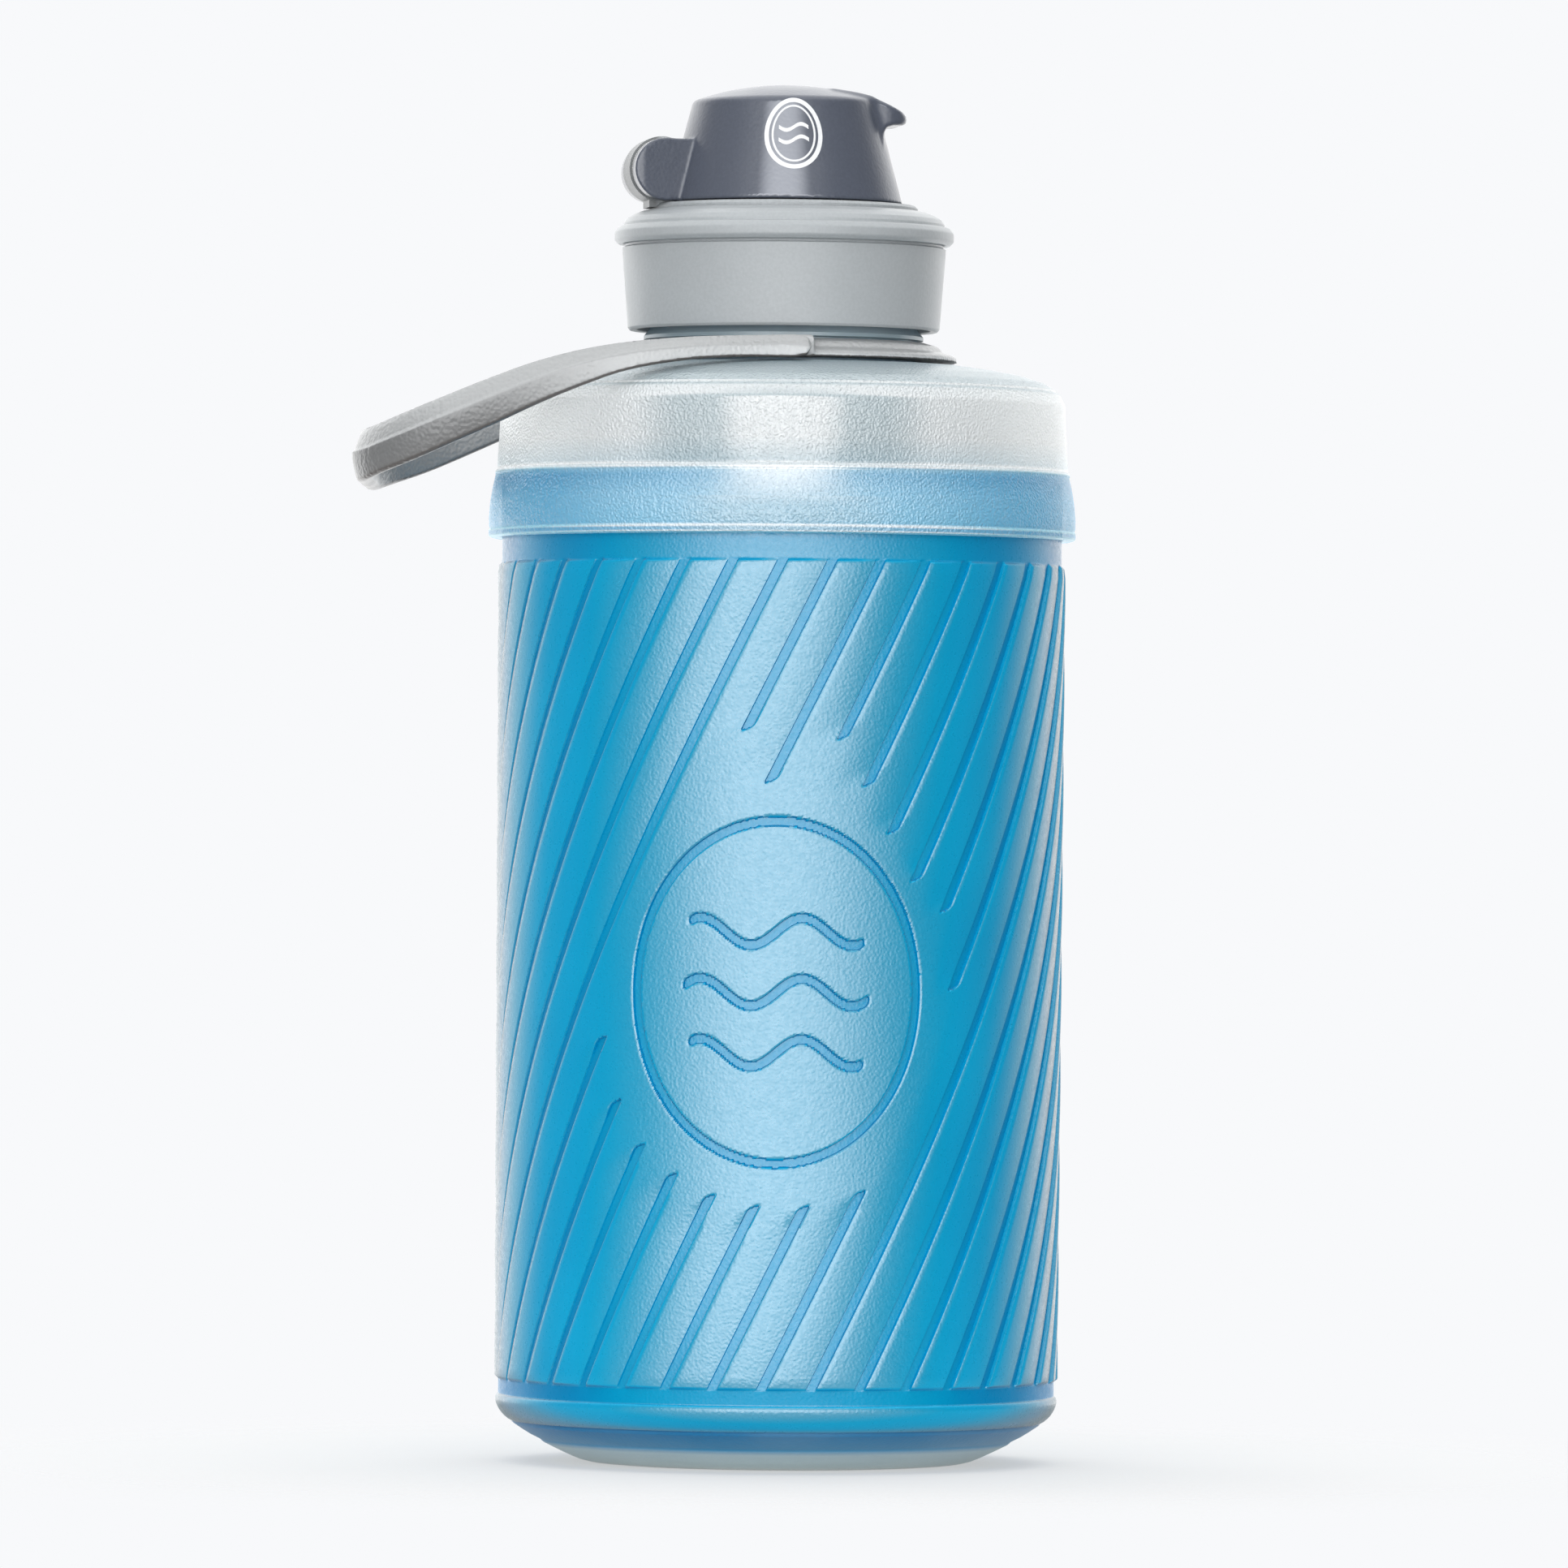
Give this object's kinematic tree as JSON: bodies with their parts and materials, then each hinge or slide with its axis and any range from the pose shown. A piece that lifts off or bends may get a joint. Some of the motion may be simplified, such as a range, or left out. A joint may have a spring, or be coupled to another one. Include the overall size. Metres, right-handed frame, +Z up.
{
  "type": "folding water bottle",
  "caption": "Soft-sided folding water bottle: ribbed sleeve that twists flat, clear shoulder, swivelling carry handle and a screw cap with a flip lid over a drinking spout.",
  "frame": {"origin": "centre of the base on the ground, on the axis of the body and the neck", "axes": "+Z up the bottle; the handle hangs towards -X; the lid's thumb tab points roughly towards +X"},
  "size_m": [0.1039, 0.0838, 0.1969],
  "materials": {
    "clear_tpu": "frosted clear soft plastic",
    "blue_tpu": "soft translucent plastic with a fine orange-peel grain",
    "neck_plastic": "translucent, smooth",
    "handle_plastic": "matte, finely grained",
    "cap_plastic": "satin",
    "silicone": "soft matte",
    "spout_plastic": "satin",
    "black_rubber": "matte",
    "lid_plastic": "satin, finely grained",
    "pin_steel": "brushed",
    "white_plastic": "smooth"
  },
  "bodies": {
    "base": {"base_disc": "clear_tpu"},
    "sleeve": {"body_sleeve": "blue_tpu"},
    "top": {"shoulder": "clear_tpu", "neck_finish": "neck_plastic"},
    "collar": {"handle_collar": "handle_plastic"},
    "bail": {"handle_bail": "handle_plastic"},
    "gasket": {"cap_gasket": "silicone"},
    "cap": {"cap_body": "cap_plastic", "spout_insert": "spout_plastic", "spout_o_ring": "black_rubber", "hinge_pin": "pin_steel", "hinge_washers": "white_plastic"},
    "lid": {"flip_lid": "lid_plastic", "lid_seal": "silicone"}
  },
  "joints": [
    {"name": "collapse_twist", "type": "hinge", "parent": "base", "child": "sleeve", "pos_m": [0, 0, 0.0085], "axis": [0, 0, 1], "range_deg": [0, 90]},
    {"name": "collapse", "type": "slide", "parent": "sleeve", "child": "top", "axis": [0, 0, 1], "range_m": [-0.106, 0], "deforming": ["body_sleeve"]},
    {"name": "handle_swivel", "type": "hinge", "parent": "top", "child": "collar", "pos_m": [0, 0, 0.1587], "axis": [0, 0, 1], "continuous": true},
    {"name": "handle_swing", "type": "hinge", "parent": "collar", "child": "bail", "pos_m": [0.0024, 0, 0.15875], "axis": [0, 1, 0], "range_deg": [0, 180]},
    {"name": "cap_lift", "type": "slide", "parent": "top", "child": "gasket", "axis": [0, 0, 1], "range_m": [0, 0.018]},
    {"name": "cap_turn", "type": "hinge", "parent": "gasket", "child": "cap", "pos_m": [0, 0, 0.169], "axis": [0, 0, 1], "range_deg": [0, 1081]},
    {"name": "lid_flip", "type": "hinge", "parent": "cap", "child": "lid", "pos_m": [-0.01798, -0.00285, 0.1845], "axis": [0.1564, -0.9877, 0], "range_deg": [0, 150]}
  ],
  "couplings": [
    {"joint": "cap_turn", "follows": "cap_lift", "rad_per_m": 1047.2},
    {"joint": "collapse_twist", "follows": "collapse", "rad_per_m": -14.7}
  ]
}
